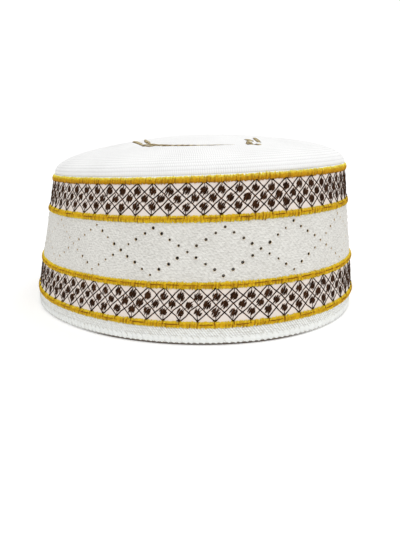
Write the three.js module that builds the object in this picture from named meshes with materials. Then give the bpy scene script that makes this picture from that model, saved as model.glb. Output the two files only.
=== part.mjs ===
// Embroidered kuma cap: a stiff oval side wall, a domed crown sewn to its top edge, and four raised borders.
// Millimetres, +Z up, the long axis of the head along Y, the rim's underside at Z = 0.
import * as THREE from 'three';

// Driving dimensions
const RIM_LENGTH = 206;
const RIM_WIDTH = 162;
const CLOTH_THICKNESS = 2.2;
const EDGE_ROUNDING = 0.5;
const PIECE_GAP = 0.3;
const SEGMENTS = 72;

// The wall's outside, from the rim up: how far each level has drawn in from the rim.
const WALL_SECTIONS = [
  { height: 0.0, drawnIn: 0.0 },
  { height: 9.8, drawnIn: 0.25 },
  { height: 27.4, drawnIn: 2.55 },
  { height: 56.5, drawnIn: 7.15 },
  { height: 75.2, drawnIn: 9.9 },
];

// The crown's dome: its rise above the seam, how quickly it leaves the upright and how flat its top is.
const CROWN_RISE = 18.0;
const CROWN_SHOULDER_POWER = 1.29;
const CROWN_TOP_POWER = 0.87;
const CROWN_STEPS = 11;

// The soft cap leans: sideways travel for each millimetre above the level that stays put, up to the crown seam.
const LEAN_X = 0.0913;
const LEAN_Y = -0.0615;
const LEAN_PIVOT = 8;

// The raised borders: the height of each one's middle, and a low rounded section given in shares of its size.
const BORDER_HEIGHT = 3.0;
const BORDER_THICKNESS = 0.6;
const BORDERS = [
  { name: 'lower_band_bottom_border', middle: 9.8 },
  { name: 'lower_band_top_border', middle: 27.4 },
  { name: 'upper_band_bottom_border', middle: 56.5 },
  { name: 'upper_band_top_border', middle: 73.6 },
];
const BORDER_SECTION = [
  { level: -0.5, fullness: 0.5 },
  { level: 0.0, fullness: 1.0 },
  { level: 0.5, fullness: 0.5 },
];

// Finishes
const WALL_COTTON = { color: 0xf1f0ea, roughness: 0.9, metalness: 0 };
const CROWN_COTTON = { color: 0xf7f7f4, roughness: 0.95, metalness: 0 };
const YELLOW_THREAD = { color: 0xd3a51a, roughness: 0.6, metalness: 0 };

// Derived sizes
const RIM_RADIUS = (RIM_LENGTH + RIM_WIDTH) / 4;
const LENGTH_STRETCH = RIM_LENGTH / 2 / RIM_RADIUS;
const WIDTH_STRETCH = RIM_WIDTH / 2 / RIM_RADIUS;
const WALL_TOP = WALL_SECTIONS.at(-1).height;
const SEAM_HEIGHT = WALL_TOP + PIECE_GAP;

function point(radius, height) {
  return new THREE.Vector2(radius, height);
}

// The wall's outer radius at a height, straight between the sections.
function wallRadius(height) {
  const row = WALL_SECTIONS.findIndex((section) => section.height > height);
  const above = WALL_SECTIONS.at(row);
  const below = WALL_SECTIONS.at(row - 1);
  const share = (height - below.height) / (above.height - below.height);
  return RIM_RADIUS - THREE.MathUtils.lerp(below.drawnIn, above.drawnIn, share);
}

// A round piece turned about Z, then drawn out to the head's oval and leaned with the cap.
function ovalPiece(name, profile, finish) {
  const geometry = new THREE.LatheGeometry(profile, SEGMENTS);
  geometry.rotateX(Math.PI / 2);
  const position = geometry.attributes.position;
  for (let i = 0; i < position.count; i += 1) {
    const leanHeight = Math.min(position.getZ(i), SEAM_HEIGHT) - LEAN_PIVOT;
    const x = position.getX(i) * WIDTH_STRETCH + LEAN_X * leanHeight;
    const y = position.getY(i) * LENGTH_STRETCH + LEAN_Y * leanHeight;
    position.setXY(i, x, y);
  }
  geometry.computeVertexNormals();
  const mesh = new THREE.Mesh(geometry, new THREE.MeshStandardMaterial(finish));
  mesh.name = name;
  return mesh;
}

// The side wall: a band of cloth with a flat rim and softened edges, open at the rim and at the top.
function sideWall() {
  const outside = WALL_SECTIONS.slice(1, -1).map(({ height }) => point(wallRadius(height), height));
  const inside = outside.map(({ x, y }) => point(x - CLOTH_THICKNESS, y)).reverse();
  const outerRim = wallRadius(0);
  const outerTop = wallRadius(WALL_TOP);
  const innerRim = outerRim - CLOTH_THICKNESS;
  const profile = [
    point(outerRim - EDGE_ROUNDING, 0),
    point(outerRim, EDGE_ROUNDING),
    ...outside,
    point(outerTop, WALL_TOP),
    point(outerTop - CLOTH_THICKNESS, WALL_TOP),
    ...inside,
    point(innerRim, EDGE_ROUNDING),
    point(innerRim + EDGE_ROUNDING, 0),
  ];
  profile.push(profile[0].clone());
  return ovalPiece('side_wall', profile, WALL_COTTON);
}

// One skin of the dome, from the seam to the apex.
function domeSkin(radius, rise) {
  const skin = [];
  for (let step = 0; step < CROWN_STEPS; step += 1) {
    const turn = (step / CROWN_STEPS) * (Math.PI / 2);
    const reach = radius * Math.cos(turn) ** CROWN_SHOULDER_POWER;
    skin.push(point(reach, SEAM_HEIGHT + rise * Math.sin(turn) ** CROWN_TOP_POWER));
  }
  skin.push(point(0, SEAM_HEIGHT + rise));
  return skin;
}

// The crown: a domed shell of stitched cloth that stands on the wall's top edge.
function crown() {
  const radius = wallRadius(WALL_TOP);
  const outside = domeSkin(radius, CROWN_RISE);
  const inside = domeSkin(radius - CLOTH_THICKNESS, CROWN_RISE - CLOTH_THICKNESS);
  return ovalPiece('crown', [...inside.reverse(), ...outside], CROWN_COTTON);
}

// A border: a low rounded ridge that follows the wall's slope.
function border({ name, middle }) {
  const ridge = [];
  const base = [];
  for (const { level, fullness } of BORDER_SECTION) {
    const height = middle + level * BORDER_HEIGHT;
    const seat = wallRadius(height) + PIECE_GAP;
    ridge.push(point(seat + fullness * BORDER_THICKNESS, height));
    base.unshift(point(seat, height));
  }
  return ovalPiece(name, [...ridge, ...base, ridge[0].clone()], YELLOW_THREAD);
}

const cap = new THREE.Group();
cap.add(sideWall(), crown(), ...BORDERS.map(border));

export default cap;
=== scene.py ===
"""Embroidered kuma cap: stitched white cotton, two lattice bands, satin borders and eyelet diamonds."""
import math

import bpy
import numpy as np
from mathutils import Matrix, Vector


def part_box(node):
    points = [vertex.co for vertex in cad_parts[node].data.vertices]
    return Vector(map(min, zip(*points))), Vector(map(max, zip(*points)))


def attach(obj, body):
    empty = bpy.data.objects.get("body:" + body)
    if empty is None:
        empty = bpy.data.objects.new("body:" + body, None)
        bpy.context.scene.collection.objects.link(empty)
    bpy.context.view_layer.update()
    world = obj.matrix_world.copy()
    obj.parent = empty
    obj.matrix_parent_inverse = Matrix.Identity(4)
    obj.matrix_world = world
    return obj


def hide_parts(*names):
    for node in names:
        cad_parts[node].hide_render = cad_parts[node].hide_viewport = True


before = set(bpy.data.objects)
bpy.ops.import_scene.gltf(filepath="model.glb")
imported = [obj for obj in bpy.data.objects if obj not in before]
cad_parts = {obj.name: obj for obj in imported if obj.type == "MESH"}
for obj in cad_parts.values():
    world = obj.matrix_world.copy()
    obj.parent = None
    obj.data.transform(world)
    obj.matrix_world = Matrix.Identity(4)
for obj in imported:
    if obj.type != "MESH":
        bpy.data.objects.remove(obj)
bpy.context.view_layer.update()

bl_info = {
    "name": "Embroidered Kuma Cap",
    "version": (1, 0, 0),
    "blender": (4, 5, 0),
    "location": "View3D > Sidebar > Cap",
    "description": "Dresses the packed cap in stitched cotton and embroidery thread",
    "category": "Object",
}

MM = 0.001
WHITE = (1.0, 1.0, 1.0, 1.0)
BORDERS = (
    "lower_band_bottom_border",
    "lower_band_top_border",
    "upper_band_bottom_border",
    "upper_band_top_border",
)

# Eyelet diamonds: how many go round, the columns of cloth cells in one, and the rows of cells in the field.
DIAMONDS = 17
DIAMOND_COLUMNS = 8
FIELD_ROWS = 11
CELL_STEPS = 4
EYELET_PHASE = 0.179
EYELET_DRIFT = 0.093
EYELET_WIDEST = 0.42
# Where round the cap the eyelets are most open, and where the painted contact shadow along the rim is darkest.
EYELET_FULLEST = 0.6
RIM_SHADOW_DARKEST = 0.607
# An eyelet's rings, from its lip through the cloth, in millimetres: how much wider than the hole each one
# is, and how far out of the wall it stands.
EYELET_RINGS = (
    {"wider": 0.5, "out": 0.03},
    {"wider": 0.34, "out": 0.24},
    {"wider": 0.16, "out": 0.3},
    {"wider": 0.02, "out": 0.14},
    {"wider": 0.0, "out": -0.45},
    {"wider": 0.0, "out": -1.9},
    {"wider": 0.2, "out": -2.2},
)
# How much painted shade the lip and the bore of an eyelet get, by how far out the cloth is.
EYELET_TONES = (
    {"out": -2.2, "eyelet_shade": 0.0},
    {"out": -1.9, "eyelet_shade": 1.0},
    {"out": -0.45, "eyelet_shade": 1.0},
    {"out": -0.2, "eyelet_shade": 0.0},
    {"out": 0.05, "eyelet_shade": 0.0},
    {"out": 0.14, "eyelet_shade": 0.4},
    {"out": 0.22, "eyelet_shade": 0.05},
)
# The rim's rounding, and its outer edge in millimetres: heights, and how far out of the wall each one is.
RIM_ROUNDING = 0.5 * MM
RIM_EDGE = (
    {"height": 0.0, "out": -0.5},
    {"height": 0.1, "out": -0.26},
    {"height": 0.3, "out": -0.1},
    {"height": 0.7, "out": -0.02},
    {"height": 1.3, "out": 0.0},
)
# Slow puckers of the stitched wall: waves round the cap, size in millimetres, start, and slant up the wall.
PUCKERS = (
    {"waves": 5, "size": 0.16, "start": 0.4, "slant": 21},
    {"waves": 11, "size": 0.10, "start": 2.1, "slant": -34},
    {"waves": 23, "size": 0.05, "start": 4.0, "slant": 60},
)
PUCKER_FADE = 12 * MM

# Lattice bands: crossings round the cap, where the first one comes, and how the pitch drifts round the cap.
BANDS = {
    "upper_band": {"count": 68, "phase": 0.277, "drift": 0.2, "widest": 0.35},
    "lower_band": {"count": 72, "phase": 0.106, "drift": 0.067, "widest": 0.39},
}
# The three rows of dots: pitches past a crossing, and the share of the band's height down from its top.
DOT_ROWS = ({"side": 0.0, "down": 0.25}, {"side": 0.5, "down": 0.5}, {"side": 0.0, "down": 0.75})
# The fine threads from the top border through the dots to the bottom one: the start and the end as pitches
# past a crossing and a share of the height down, and the half width in millimetres.
STEMS = (
    {"start": (0.0, -0.02), "end": (0.0, 0.25), "half": 0.17},
    {"start": (0.0, 0.25), "end": (-0.5, 0.5), "half": 0.13},
    {"start": (0.5, 0.5), "end": (0.0, 0.75), "half": 0.13},
    {"start": (0.0, 0.75), "end": (0.0, 1.02), "half": 0.17},
)
# The knots where the stems end: how far down, their reach in pitches, their wander along the band in pitches
# and up it in millimetres, and their thickness from the ends to the middle.
KNOTS = (
    {"down": 0.985, "reach": (0.06, 0.11), "wander": 0.03, "drop": 0.12, "thick": (0.16, 0.3, 0.34)},
    {"down": 0.012, "reach": (0.04, 0.1), "wander": 0.05, "drop": 0.1, "thick": (0.14, 0.22, 0.24)},
)
# The brown lines along the borders: one over every pitch, or over every second one with a foot at both ends.
BORDER_LINES = (
    {"band": "upper_band", "side": "bottom", "every": 2},
    {"band": "lower_band", "side": "top", "every": 1},
    {"band": "lower_band", "side": "bottom", "every": 2},
)

# Crown embroidery, in millimetres of plan from the crown's middle. A satin line has a path and its half width
# at both ends: one long line that starts double, and two clusters of slanting strokes.
CROWN_LINES = (
    {"path": ((-44.5, -10.0), (-43.0, -14.0), (-44.5, -20.5)), "first": 1.1, "last": 1.3},
    {"path": ((-46.5, -12.5), (-46.5, -18.0), (-45.0, -20.5)), "first": 1.0, "last": 1.2},
    {"path": ((-44.5, -20.5), (-44.0, -29.0), (-40.0, -42.0)), "first": 1.5, "last": 1.0},
    {"path": ((-40.0, -42.0), (-36.5, -48.5), (-29.5, -58.0)), "first": 0.7, "last": 0.12},
    {"path": ((-14.5, -54.0), (-17.5, -58.5)), "first": 1.4, "last": 1.5},
    {"path": ((-19.0, -58.0), (-25.0, -62.0)), "first": 0.8, "last": 0.9},
    {"path": ((-19.5, -59.0), (-24.0, -64.0)), "first": 0.8, "last": 0.9},
    {"path": ((-23.0, -61.0), (-22.5, -62.5)), "first": 0.7, "last": 0.7},
    {"path": ((-6.5, -52.5), (-15.5, -61.5)), "first": 0.85, "last": 1.05},
    {"path": ((-10.0, -55.5), (-17.0, -63.0)), "first": 0.85, "last": 1.05},
    {"path": ((-22.5, -64.5), (-20.5, -66.5)), "first": 1.2, "last": 1.2},
)
# Satin leaves that spring from the doubled end: the two edges that the stitches cross between, and a tint.
CROWN_LEAVES = (
    {
        "near": ((-29.0, 14.5), (-33.5, 7.0), (-40.0, -3.5), (-44.0, -9.0)),
        "far": ((-33.5, 11.5), (-40.0, 0.5), (-44.0, -6.5), (-46.0, -10.5)),
        "tint": 0.7,
    },
    {
        "near": ((-25.5, 9.5), (-30.5, 2.5), (-35.5, -4.5), (-41.0, -11.5)),
        "far": ((-29.5, 6.0), (-36.0, -1.5), (-40.5, -8.0), (-43.0, -13.5)),
        "tint": 0.55,
    },
)


def number_property(name, description, default, **kind):
    return bpy.props.FloatProperty(name=name, description=description, default=default, **kind)


def length_property(name, description, millimetres):
    return number_property(name, description, millimetres * MM, min=0.0, unit="LENGTH", precision=5)


def angle_property(name, description, degrees):
    return number_property(name, description, math.radians(degrees), unit="ROTATION")


def colour_property(name, description, *shades):
    return bpy.props.FloatVectorProperty(
        name=name, description=description, default=(*shades, 1.0), size=4, min=0.0, max=1.0, subtype="COLOR"
    )


class CapClothSettings(bpy.types.PropertyGroup):
    """Sizes and colours of the white cotton."""

    thickness: length_property("Cloth thickness", "Wall of layered cotton", 2.2)
    shoulder_power: number_property("Shoulder", "How quickly the crown leaves the upright", 1.29)
    top_power: number_property("Top", "How flat the crown's top is", 0.87)
    crown_row: length_property("Crown row", "Width of one stitched row on the crown", 2.0)
    rib_pitch: length_property("Rib pitch", "Spacing of the ribs along a crown row", 1.0)
    eyelet: length_property("Eyelet", "Width of an eyelet's hole", 1.46)
    fill_length: length_property("Fill stitch length", "Length of one fill stitch", 1.7)
    fill_row: length_property("Fill row", "Height of one row of fill stitches", 0.55)
    cotton: colour_property("Cotton", "White cotton thread", 0.84, 0.83, 0.785)
    # Groove is painted shade in the hollows between the wall's stitches, mixed with random mottle; the rim's
    # overcast thread uses it as the dull end of its random tint.
    groove: colour_property("Groove", "Painted shade and mottle between the stitches", 0.46, 0.445, 0.41)
    margin: colour_property("Margin", "Whiter twill below the lower band", 0.90, 0.92, 0.905)
    # Painted contact shadow: dark brown along the rim's lower edge, where the floor's shadow falls.
    rim_shadow: colour_property("Rim shadow", "Painted contact shadow along the rim's lower edge", 0.085, 0.06, 0.04)
    crown: colour_property("Crown cotton", "Whiter cotton of the crown", 0.945, 0.945, 0.94)
    # Crown groove is painted shade in the hollows between the crown's ribs and rows, and by its seam.
    crown_groove: colour_property("Crown groove", "Painted shade between the crown's ribs and by its seam", 0.64, 0.64, 0.635)
    # Band ground: the cloth's warm tint, darkened as painted shade of the lattice threads over it.
    ground: colour_property("Band ground", "Smooth cloth under the lattice", 0.79, 0.71, 0.65)
    # Painted shade in the eyelets: near black down each bore, and tan round each lip.
    eyelet_shade: colour_property("Eyelet bore shade", "Painted shade down inside an eyelet", 0.03, 0.02, 0.012)
    eyelet_lip_shade: colour_property("Eyelet lip shade", "Painted tan shade round an eyelet's lip", 0.60, 0.45, 0.25)


class CapThreadSettings(bpy.types.PropertyGroup):
    """Sizes and colours of the embroidery threads."""

    satin_pitch: length_property("Satin pitch", "Spacing of the border strands", 0.4)
    satin_rise: length_property("Satin rise", "How far a border stands off the wall", 0.75)
    lattice_width: length_property("Lattice thread", "Width of the lattice thread", 0.59)
    dot_width: length_property("Dot", "Width of a satin dot", 3.7)
    dot_thread: length_property("Dot thread", "Width of one stitch in a dot", 0.5)
    rim_pitch: length_property("Rim pitch", "Spacing of the overcast stitches on the rim", 2.8)
    # Border colours by place along a stitch, which paints light on it: lemon and yellow are painted highlights
    # at a stitch's ends, gold lies over its middle, and amber is painted shade at the top border's lower end.
    # Amber is also the painted highlight of the rust lines.
    lemon: colour_property("Lemon", "Upper edge of the top border", 1.0, 0.94, 0.13)
    yellow: colour_property("Yellow", "Edges of the border thread", 0.90, 0.70, 0.032)
    gold: colour_property("Gold", "Middle of the border thread", 0.67, 0.368, 0.007)
    amber: colour_property("Amber", "Lower edge of the top border", 0.54, 0.265, 0.009)
    # Satin shadow is painted shade on the deeper strands of the borders.
    satin_shadow: colour_property("Satin shadow", "Painted shade of the deeper border strands", 0.42, 0.32, 0.25)
    rust: colour_property("Rust", "Brown lines along the borders", 0.15, 0.05, 0.006)
    dark: colour_property("Dark brown", "Lattice and dot thread", 0.015, 0.0062, 0.0026)
    # Lit brown is a painted highlight along the raised middle of each dark stitch; frayed brown at its ends is
    # partly loose fibres and partly painted sheen.
    dark_lit: colour_property("Lit brown", "Painted highlight on the dark thread's raised middle", 0.068, 0.027, 0.0105)
    dark_fringe: colour_property("Frayed brown", "Stitch ends of the dark thread", 0.2, 0.085, 0.03)
    tan: colour_property("Tan", "Crown embroidery thread", 0.72, 0.62, 0.37)
    tan_deep: colour_property("Deep tan", "Twist of the crown thread", 0.15, 0.10, 0.042)


class CapStageSettings(bpy.types.PropertyGroup):
    """Camera, light and floor."""

    camera_place: bpy.props.FloatVectorProperty(
        name="Camera place",
        description="Where the camera stands",
        default=(-0.21229, -0.21392, 0.08910),
        subtype="TRANSLATION",
        precision=5,
    )
    heading: angle_property("Heading", "Turn of the camera about the upright", -46.645)
    tilt: angle_property("Tilt", "Camera tilt, with 90 degrees level", 75.995)
    roll: angle_property("Roll", "Camera roll about its own line of sight", -2.954)
    lens: number_property("Lens", "Focal length in millimetres", 33.6225)
    front_light: number_property("Front light", "Soft light above the camera", 1.25)
    back_light: number_property("Back light", "Soft light behind, at the right", 0.5)
    light_spread: angle_property("Light spread", "How wide the soft lights are", 70)
    surround: number_property("Surround", "Light from the white room", 0.6)
    backdrop: number_property("Backdrop", "Brightness of the room behind the cap", 1.05)
    floor_glow: number_property("Floor glow", "Light of the lit table top", 0.06)
    floor: colour_property("Floor", "Pale floor", 1.0, 1.0, 1.0)


# A Mix node's colour sockets by their places, because their names repeat.
MIX_FACTOR = 0
MIX_FIRST = 6
MIX_SECOND = 7
MIX_RESULT = 2


class Wire:
    """A socket of a node tree: arithmetic on wires lays Math nodes, and node() lays any other kind."""

    def __init__(self, tree, socket=None):
        self.tree = tree
        self.socket = socket

    def node(self, kind, settings=None, sockets=None, output=0):
        made = self.tree.nodes.new(kind)
        for name, value in (settings or {}).items():
            setattr(made, name, value)
        for name, value in (sockets or {}).items():
            if isinstance(value, Wire):
                self.tree.links.new(value.socket, made.inputs[name])
            else:
                made.inputs[name].default_value = value
        return Wire(self.tree, made.outputs[output])

    def other(self, output):
        return Wire(self.tree, self.socket.node.outputs[output])

    def math(self, operation, *terms):
        return self.node("ShaderNodeMath", {"operation": operation}, dict(enumerate(terms)))

    def __add__(self, term):
        return self.math("ADD", self, term)

    def __radd__(self, term):
        return self.math("ADD", term, self)

    def __sub__(self, term):
        return self.math("SUBTRACT", self, term)

    def __rsub__(self, term):
        return self.math("SUBTRACT", term, self)

    def __mul__(self, term):
        return self.math("MULTIPLY", self, term)

    def __rmul__(self, term):
        return self.math("MULTIPLY", term, self)

    def __truediv__(self, term):
        return self.math("DIVIDE", self, term)

    def __rtruediv__(self, term):
        return self.math("DIVIDE", term, self)

    def __pow__(self, term):
        return self.math("POWER", self, term)

    def __rpow__(self, term):
        return self.math("POWER", term, self)

    def __gt__(self, term):
        return self.math("GREATER_THAN", self, term)

    def __lt__(self, term):
        return self.math("LESS_THAN", self, term)

    def floor(self):
        return self.math("FLOOR", self)

    def cosine(self):
        return self.math("COSINE", self)

    def fraction(self):
        return self.math("FRACT", self)

    def hump(self):
        """A round rise from 0 to 1 and back over each whole number."""
        part = self.fraction()
        return 4.0 * part * (1.0 - part)

    def between(self, low, high):
        """The low value where this is 0, the high one where it is 1."""
        return low + (high - low) * self

    def smooth(self, low, high):
        """0 below the low value, 1 above the high one, and a soft step between them."""
        sockets = {"Value": self, "From Min": low, "From Max": high}
        return self.node("ShaderNodeMapRange", {"interpolation_type": "SMOOTHSTEP"}, sockets)

    def blend(self, first, second):
        """The colour that lies this share of the way from the first to the second."""
        sockets = {MIX_FACTOR: self, MIX_FIRST: first, MIX_SECOND: second}
        return self.node("ShaderNodeMix", {"data_type": "RGBA"}, sockets, MIX_RESULT)

    def multiplied_by(self, shade_colour):
        """This colour times another one."""
        settings = {"data_type": "RGBA", "blend_type": "MULTIPLY"}
        sockets = {MIX_FACTOR: 1.0, MIX_FIRST: self, MIX_SECOND: shade_colour}
        return self.node("ShaderNodeMix", settings, sockets, MIX_RESULT)

    def feed(self, shader, socket):
        self.tree.links.new(self.socket, shader.inputs[socket])


def start_material(name, **finish):
    """A material with its shader's uniform values set, and a wire to grow its nodes from."""
    material = bpy.data.materials.new(name)
    material.use_nodes = True
    shader = material.node_tree.nodes["Principled BSDF"]
    for socket, value in finish.items():
        shader.inputs[socket.replace("_", " ")].default_value = value
    return material, shader, Wire(material.node_tree)


def noise(wire, patches):
    """Soft random patches, so many to the metre."""
    place = wire.node("ShaderNodeTexCoord").other("Object")
    return wire.node("ShaderNodeTexNoise", {}, {"Vector": place, "Scale": patches, "Detail": 2.0})


def streaks(wire, across, up):
    """Soft random patches, one to each unit across and up the cloth."""
    place = wire.node("ShaderNodeCombineXYZ", {}, {0: across, 1: up})
    return wire.node("ShaderNodeTexNoise", {}, {"Vector": place, "Scale": 1.0, "Detail": 1.0})


def mark(wire, name):
    """A value that the mesh carries."""
    return wire.node("ShaderNodeAttribute", {"attribute_name": name}).other("Fac")


def cloth_place(wire):
    """The way along the cloth and the way up it."""
    parts = wire.node("ShaderNodeSeparateXYZ", {}, {0: wire.node("ShaderNodeUVMap", {"uv_map": "cloth"})})
    return parts.other("X"), parts.other("Y")


def finish_relief(wire, shader, relief, roughness, depth, strength):
    """Roughness from its value in the hollows to that on the heights, and a bump as deep as given."""
    relief.between(*roughness).feed(shader, "Roughness")
    sockets = {"Height": relief, "Distance": depth, "Strength": strength}
    wire.node("ShaderNodeBump", {}, sockets).feed(shader, "Normal")


def fill_stitches(wire, cloth, along, height):
    """Relief of the fill stitches: uneven rows of short dashes, each row set on from the one below."""
    row_step = 0.29
    row_jitter = 0.12
    end_power = 3.0
    crest_power = 0.4
    sway_reach = 1.4 * MM
    dash_length = 1.6 * MM
    dash_height = 0.62 * MM
    sway = noise(wire, patches=120.0) * sway_reach
    row = (height + sway * 0.5) / cloth.fill_row
    row_number = row.floor()
    jitter = wire.node("ShaderNodeTexWhiteNoise", {"noise_dimensions": "1D"}, {"W": row_number})
    stitch = (along + sway) / cloth.fill_length + row_number * row_step + jitter * row_jitter
    cell = wire.node("ShaderNodeCombineXYZ", {}, {0: stitch.floor(), 1: row_number})
    chance = wire.node("ShaderNodeTexWhiteNoise", {"noise_dimensions": "2D"}, {"Vector": cell})
    offset = 2.0 * stitch.fraction() - 1.0
    ends = 1.0 - (offset * offset) ** end_power
    dash = streaks(wire, along / dash_length, height / dash_height).smooth(0.28, 0.62)
    return (row.hump() * ends) ** crest_power * chance.between(0.6, 1.0) * dash.between(0.35, 1.0)


def margin_twill(wire, along, height):
    """Relief of the margin's slanting twill, with thick and thin places."""
    slant = 0.8
    pitch = 1.25 * MM
    row = 1.1 * MM
    slub_length = 1.9 * MM
    slub_height = 1.2 * MM
    twill = ((along + height * slant) / pitch).hump() * (height / row).hump().between(0.5, 1.0)
    slub = streaks(wire, (along + height) / slub_length, height / slub_height).smooth(0.3, 0.65)
    return twill.between(0.1, 1.0) * slub.between(0.45, 1.0)


def wall_cotton(cloth, girth, margin_top, field_bottom, field_top, band_top):
    """White cotton: fill stitches in the eyelet field, twill in the margin and smooth ground in the bands."""
    material, shader, wire = start_material("wall_cotton", Specular_IOR_Level=0.25, Sheen_Weight=0.08)
    along, height = cloth_place(wire)
    in_field = (height > field_bottom) * (height < field_top)
    in_margin = height < margin_top
    in_band = 1.0 - in_field - in_margin
    weave_pitch = 0.45 * MM
    # Painted contact shadow along the rim: full below the first height, gone above the second, darkest at two
    # places round the cap and faint between them.
    full_shadow_height = 0.75 * MM
    no_shadow_height = 1.45 * MM
    weave = ((along / weave_pitch).hump() * (height / weave_pitch).hump()).between(0.85, 1.0)
    relief = in_field * fill_stitches(wire, cloth, along, height)
    relief = relief + in_margin * margin_twill(wire, along, height) + in_band * weave
    shade = relief * 0.8 + noise(wire, patches=40.0) * 0.25 + noise(wire, patches=900.0) * 0.2
    ground = in_band.blend(cloth.cotton, cloth.ground)
    ground = in_margin.blend(ground, cloth.margin)
    ground = (height > band_top).blend(ground, cloth.crown)
    # Painted shade: the groove colour darkens the stitch hollows, with random mottle from the noise.
    toned = shade.smooth(0.0, 1.0).blend(cloth.groove, ground)
    shadow_round_rim = (4.0 * math.pi * (along / girth - RIM_SHADOW_DARKEST)).cosine().smooth(0.15, 0.7)
    edge = (1.0 - height.smooth(full_shadow_height, no_shadow_height)) * shadow_round_rim.between(0.12, 1.0)
    shadowed_rim = edge.blend(toned, cloth.rim_shadow)
    # Painted shade in and round the eyelets, by the mesh's eyelet mark: tan on the lip, near black down the
    # bore.
    eyelet_shade = mark(wire, "eyelet_shade")
    lip_shaded = eyelet_shade.smooth(0.0, 0.5).blend(shadowed_rim, cloth.eyelet_lip_shade)
    eyelet_shade.smooth(0.5, 1.0).blend(lip_shaded, cloth.eyelet_shade).feed(shader, "Base Color")
    finish_relief(wire, shader, relief, roughness=(0.95, 0.85), depth=0.16 * MM, strength=0.9)
    return material


def crown_cotton(cloth):
    """White cotton in close rows, each with fine ribs across it, with painted shade in the hollows and a
    little painted shade near the seam.
    """
    material, shader, wire = start_material("crown_cotton", Specular_IOR_Level=0.25, Sheen_Weight=0.08)
    along, run = cloth_place(wire)
    seam_shade_depth = 0.2
    seam_shade_reach = 7.0 * MM
    row_step = 0.5
    rib_sway = 0.6
    rib_power = 0.6
    row_power = 0.4
    row = run / cloth.crown_row
    rib = along * mark(wire, "ribs") + row.floor() * row_step + noise(wire, patches=150.0) * rib_sway
    relief = rib.hump() ** rib_power * row.hump() ** row_power
    shade = relief * 0.75 + noise(wire, patches=50.0) * 0.4
    # Painted shade: the crown groove colour darkens the hollows between ribs and rows, with random mottle from
    # the noise.
    toned = shade.smooth(0.0, 0.9).blend(cloth.crown_groove, cloth.crown)
    # Painted shade on the rows nearest the seam.
    seam = seam_shade_depth * (1.0 - run.smooth(0.0, seam_shade_reach))
    seam.blend(toned, cloth.crown_groove).feed(shader, "Base Color")
    finish_relief(wire, shader, relief, roughness=(0.95, 0.87), depth=0.14 * MM, strength=0.8)
    return material


def cotton_thread(cloth):
    """Loose white thread of the rim's overcast stitches."""
    material, shader, wire = start_material("cotton_thread", Specular_IOR_Level=0.25)
    fibre = noise(wire, patches=5000.0)
    shade = 0.5 + 0.3 * mark(wire, "tint") + 0.4 * fibre
    shade.blend(cloth.groove, cloth.margin).feed(shader, "Base Color")
    finish_relief(wire, shader, fibre, roughness=(0.8, 0.95), depth=0.05 * MM, strength=0.6)
    return material


def satin_yellow(name, edge, middle, foot, shade_colour):
    """Lustrous border thread with painted light: a painted highlight at a stitch's upper end, deeper over its
    middle, painted shade on the deeper strands, no two alike.
    """
    material, shader, wire = start_material(name, Specular_IOR_Level=0.12)
    tint = mark(wire, "tint")
    along = mark(wire, "along")
    fibre = noise(wire, patches=4000.0)
    place = along + 0.16 * (tint - 0.5) + 0.8 * (noise(wire, patches=1300.0) - 0.5)
    speck = noise(wire, patches=1700.0).smooth(0.52, 0.7) * along.hump()
    # Painted light along the stitch: foot colour at its lower end, middle colour over its middle, edge colour
    # as a painted highlight at its upper end.
    lower = place.smooth(0.0, 0.55).blend(foot, middle)
    body = place.smooth(0.5, 1.0).blend(lower, edge)
    # Painted shade that takes turns from pair to pair of strands, lighter towards a stitch's upper end, with a
    # few random specks.
    shadow = tint * tint * place.smooth(0.6, 1.0).between(1.0, 0.55) + 0.5 * speck
    shadow.blend(body, body.multiplied_by(shade_colour)).feed(shader, "Base Color")
    finish_relief(wire, shader, fibre, roughness=(0.42, 0.67), depth=0.04 * MM, strength=0.6)
    return material


def twisted_thread(name, deep, lit, fringe):
    """Embroidery thread, made once: a painted highlight along a stitch's middle, mixed with random tone, and
    the fringe colour at its ends, which on the dark thread is partly frayed fibres and partly painted sheen.
    """
    if name in bpy.data.materials:
        return bpy.data.materials[name]
    material, shader, wire = start_material(name, Specular_IOR_Level=0.05)
    middle = mark(wire, "along").hump()
    fibre = noise(wire, patches=4500.0)
    # Painted highlight along a stitch's middle, mixed with each stitch's random tint and fibre noise.
    highlight_and_tone = (middle * 0.45 + mark(wire, "tint") * 0.55 + (fibre - 0.5) * 0.8).smooth(0.35, 1.15)
    stitch_ends = (1.0 - middle).smooth(0.3, 1.0)
    stitch_ends.blend(highlight_and_tone.blend(deep, lit), fringe).feed(shader, "Base Color")
    finish_relief(wire, shader, fibre, roughness=(0.5, 0.8), depth=0.05 * MM, strength=0.7)
    return material


def dark_thread(threads):
    return twisted_thread("dark_thread", threads.dark, threads.dark_lit, threads.dark_fringe)


def drifted(even, drift, widest):
    """Even shares of the way round, spread out about the widest place as hand-guided work does."""
    return even + drift / (2 * np.pi) * np.sin(2 * np.pi * (even - widest))


def unit(vectors):
    return vectors / np.linalg.norm(vectors, axis=-1, keepdims=True)


def path_runs(path):
    """How far along a path each of its points lies."""
    return np.concatenate([[0.0], np.cumsum(np.linalg.norm(np.diff(path, axis=0), axis=1))])


def column_of(rows, key):
    return np.array([row[key] for row in rows])


def bulge(end, shoulder, middle):
    """Five sizes along a stitch that is alike at both ends."""
    return np.array([end, shoulder, middle, shoulder, end])


def stitch_bend(shoulder):
    """Five places along a stitch, from -1 at its start to 1 at its end."""
    return np.array([-1.0, -shoulder, 0.0, shoulder, 1.0])


def border_edges(name):
    """The heights of a border's lower and upper edge."""
    return [corner[2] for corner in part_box(name)]


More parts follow.
